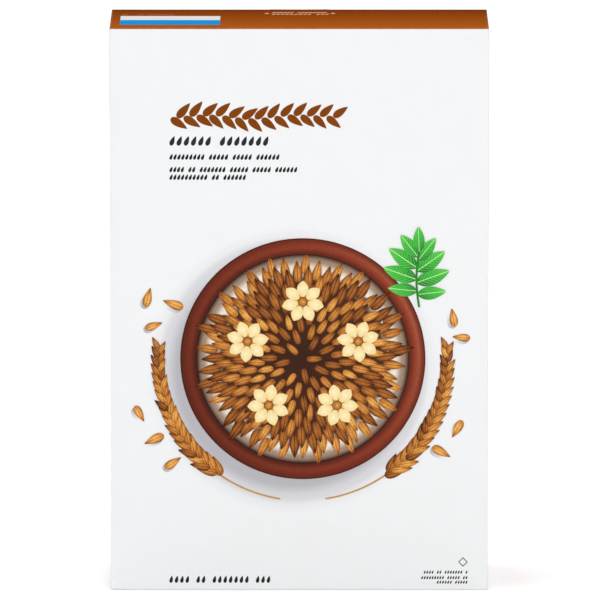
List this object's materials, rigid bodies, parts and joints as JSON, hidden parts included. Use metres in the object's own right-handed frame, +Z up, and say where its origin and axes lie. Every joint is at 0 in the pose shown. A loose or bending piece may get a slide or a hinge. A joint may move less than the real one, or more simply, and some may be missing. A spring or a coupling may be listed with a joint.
{
  "type": "cereal box",
  "caption": "Shut upright paperboard cereal carton with swollen wide panels, rounded folds and lapped end flaps with a locking tab.",
  "frame": {"origin": "middle of the underside, where the carton stands", "axes": "+Z up along the carton's height, front towards -Y, +X to the right as seen from the front"},
  "size_m": [0.195, 0.0724, 0.294],
  "materials": {
    "coated_board": "white clay-coated paperboard, satin varnish",
    "brown_print": "brown ink on the coated board, satin varnish",
    "charcoal_print": "charcoal ink on the coated board, satin varnish",
    "grain_print": "golden ink on the coated board, satin varnish",
    "terracotta_print": "terracotta ink on the coated board, satin varnish",
    "leaf_print": "green ink on the coated board, satin varnish",
    "blue_print": "blue ink on the coated board, satin varnish"
  },
  "bodies": {
    "root": {"carton": "coated_board"}
  },
  "joints": []
}
